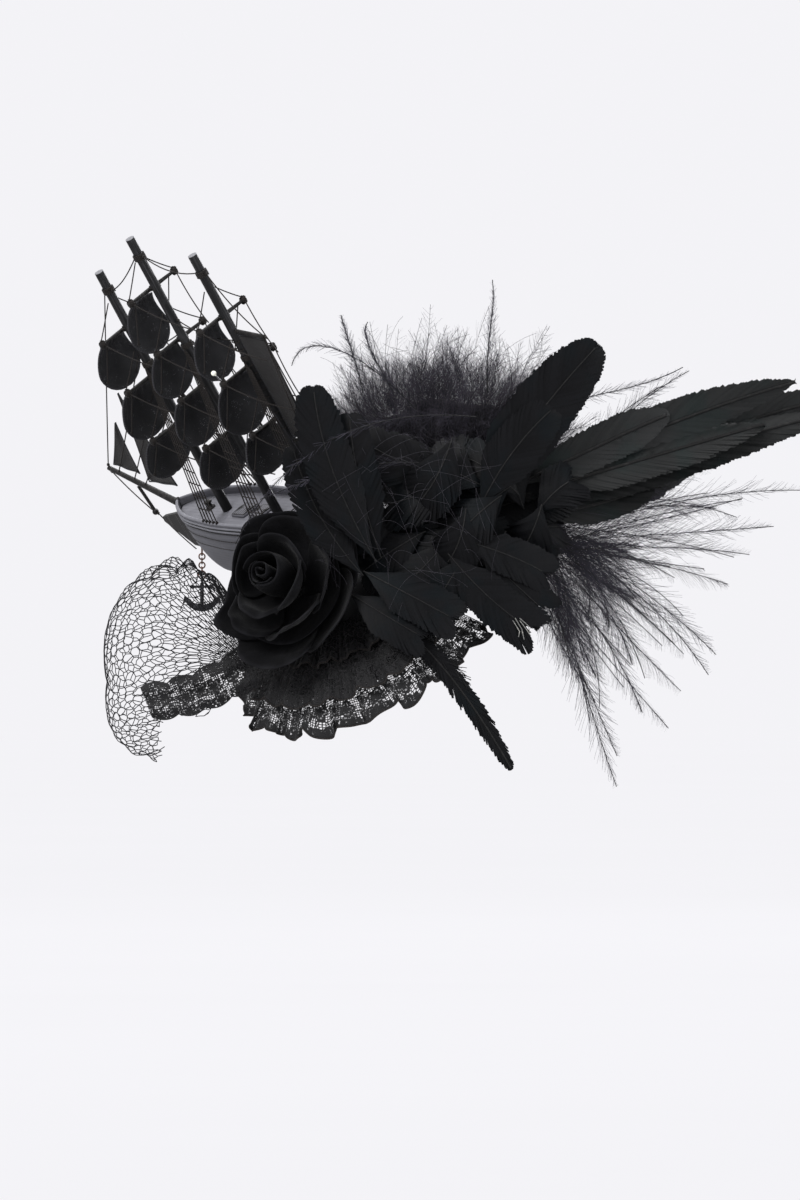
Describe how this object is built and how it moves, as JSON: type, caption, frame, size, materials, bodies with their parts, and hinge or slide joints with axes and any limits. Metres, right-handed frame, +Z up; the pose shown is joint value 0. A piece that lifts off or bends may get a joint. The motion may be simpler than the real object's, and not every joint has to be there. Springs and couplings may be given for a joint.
{
  "type": "fascinator headpiece",
  "caption": "Domed fascinator base with a three-masted ship, fabric rose, net veil, lace, feathers, a hanging anchor charm and sprung clips.",
  "frame": {"origin": "middle of the base's underside, where it sits on the crown of the head", "axes": "+Z up, -X towards the wearer's face, -Y towards the wearer's left side"},
  "size_m": [0.3511, 0.2011, 0.2467],
  "materials": {
    "anchor_black": "black enamel",
    "black_lace": "corded lace",
    "black_wood": "black stain",
    "buckram": "stiffened open weave",
    "clip_steel": "bright nickel",
    "copper_wire": "dark copper",
    "coque_black": "glossy feather vane",
    "coque_tail": "feather vane with a green sheen",
    "cover_satin": "black satin",
    "deck_paint": "matt light grey paint",
    "felt_pad": "felt",
    "flat_sail_cloth": "stiffened cloth",
    "hull_paint": "matt grey paint",
    "lining_satin": "satin lining",
    "marabou": "fluffy down",
    "mast_wood": "black stain, worn grey at the ends",
    "millinery_wire": "plain wire",
    "ostrich": "soft flue",
    "pearl_bead": "glossy bead",
    "post_wire": "plain wire",
    "quill_tape": "wrapped tape",
    "rigging_thread": "waxed thread",
    "rose_stem_tape": "wrapped tape",
    "rose_velvet": "soft pile",
    "sail_cloth": "stiffened cloth with a fine sparkle",
    "veil_thread": "net"
  },
  "bodies": {
    "headpiece": {"base_lining": "lining_satin", "base_form": "buckram", "base_cover": "cover_satin", "edge_wire": "millinery_wire", "edge_binding": "cover_satin", "clip_plates": "clip_steel", "clip_pins": "clip_steel", "clip_springs": "clip_steel", "hull": "hull_paint", "deck": "deck_paint", "bulwark_rail": "hull_paint", "beakhead": "black_wood", "bowsprit": "black_wood", "foremast": "mast_wood", "mainmast": "mast_wood", "mizzenmast": "mast_wood", "mast_bands": "rigging_thread", "yards": "black_wood", "fore_topgallant": "sail_cloth", "fore_topsail": "sail_cloth", "fore_course": "sail_cloth", "main_royal": "sail_cloth", "main_topgallant": "sail_cloth", "main_topsail": "sail_cloth", "main_course": "sail_cloth", "mizzen_topgallant": "sail_cloth", "mizzen_topsail": "sail_cloth", "mizzen_course": "sail_cloth", "spanker_spars": "black_wood", "spanker_sail": "flat_sail_cloth", "jibs": "flat_sail_cloth", "dolphin_striker": "black_wood", "stays": "rigging_thread", "shrouds": "rigging_thread", "bead_pin": "pearl_bead", "ship_posts": "post_wire", "anchor_eye": "copper_wire", "rose_outer_petals": "rose_velvet", "rose_middle_petals": "rose_velvet", "rose_inner_petals": "rose_velvet", "rose_bud": "rose_velvet", "rose_stem": "rose_stem_tape", "veil_net": "veil_thread", "lace_frill": "black_lace", "lace_flap": "black_lace", "marabou_fluff": "marabou", "feather_pad": "felt_pad", "quill_bundle": "quill_tape", "mound_feathers": "coque_black", "blade_feathers": "coque_black", "tail_feathers": "coque_tail", "coque_feathers": "coque_black", "ostrich_spray": "ostrich"},
    "chain": {"chain": "copper_wire"},
    "anchor": {"anchor_ring": "copper_wire", "anchor": "anchor_black", "anchor_stock": "anchor_black"},
    "front_jaw": {"front_clip_jaw": "clip_steel"},
    "back_jaw": {"back_clip_jaw": "clip_steel"}
  },
  "joints": [
    {"name": "chain_swing", "type": "hinge", "parent": "headpiece", "child": "chain", "pos_m": [-0.06788, 0.11486, 0.01953], "axis": [0, 1, 0], "range_deg": [-35, 35]},
    {"name": "anchor_swing", "type": "hinge", "parent": "chain", "child": "anchor", "pos_m": [-0.06788, 0.11486, 0.01164], "axis": [0, 1, 0], "range_deg": [-25, 25]},
    {"name": "front_clip_open", "type": "hinge", "parent": "headpiece", "child": "front_jaw", "pos_m": [-0.01891, 0.02179, -0.01231], "axis": [-0.5241, 0.811, -0.2599], "range_deg": [0, 18], "stiffness_Nm_per_rad": 0.08, "springref_deg": -20.05},
    {"name": "back_clip_open", "type": "hinge", "parent": "headpiece", "child": "back_jaw", "pos_m": [0.02255, -0.018, -0.01231], "axis": [-0.8319, 0.4903, 0.2599], "range_deg": [0, 18], "stiffness_Nm_per_rad": 0.08, "springref_deg": -20.05}
  ]
}
